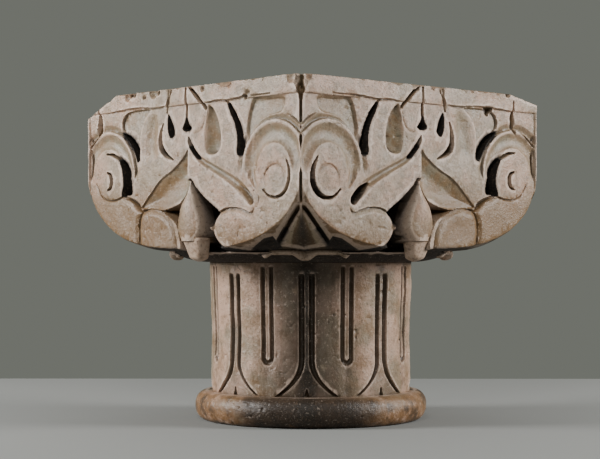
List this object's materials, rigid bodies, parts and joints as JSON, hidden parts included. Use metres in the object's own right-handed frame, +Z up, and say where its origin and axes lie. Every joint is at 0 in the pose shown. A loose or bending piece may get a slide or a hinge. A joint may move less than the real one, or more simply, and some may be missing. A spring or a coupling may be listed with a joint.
{
  "type": "marble capital",
  "caption": "Carved marble capital: square block with leaves, scrolls and hanging drops, cut down to a round drum with upright leaves and a base ring.",
  "frame": {"origin": "centre of the underside of the base ring, on the axis of the drum", "axes": "+Z up along the axis of the drum; the four carved faces look along -Y, +X, +Y and -X; the front corner is between -Y and +X"},
  "size_m": [0.279, 0.279, 0.28],
  "materials": {
    "marble": "aged marble with a satin worn face, warm grey with ochre stains"
  },
  "bodies": {
    "root": {"capital": "marble"}
  },
  "joints": []
}
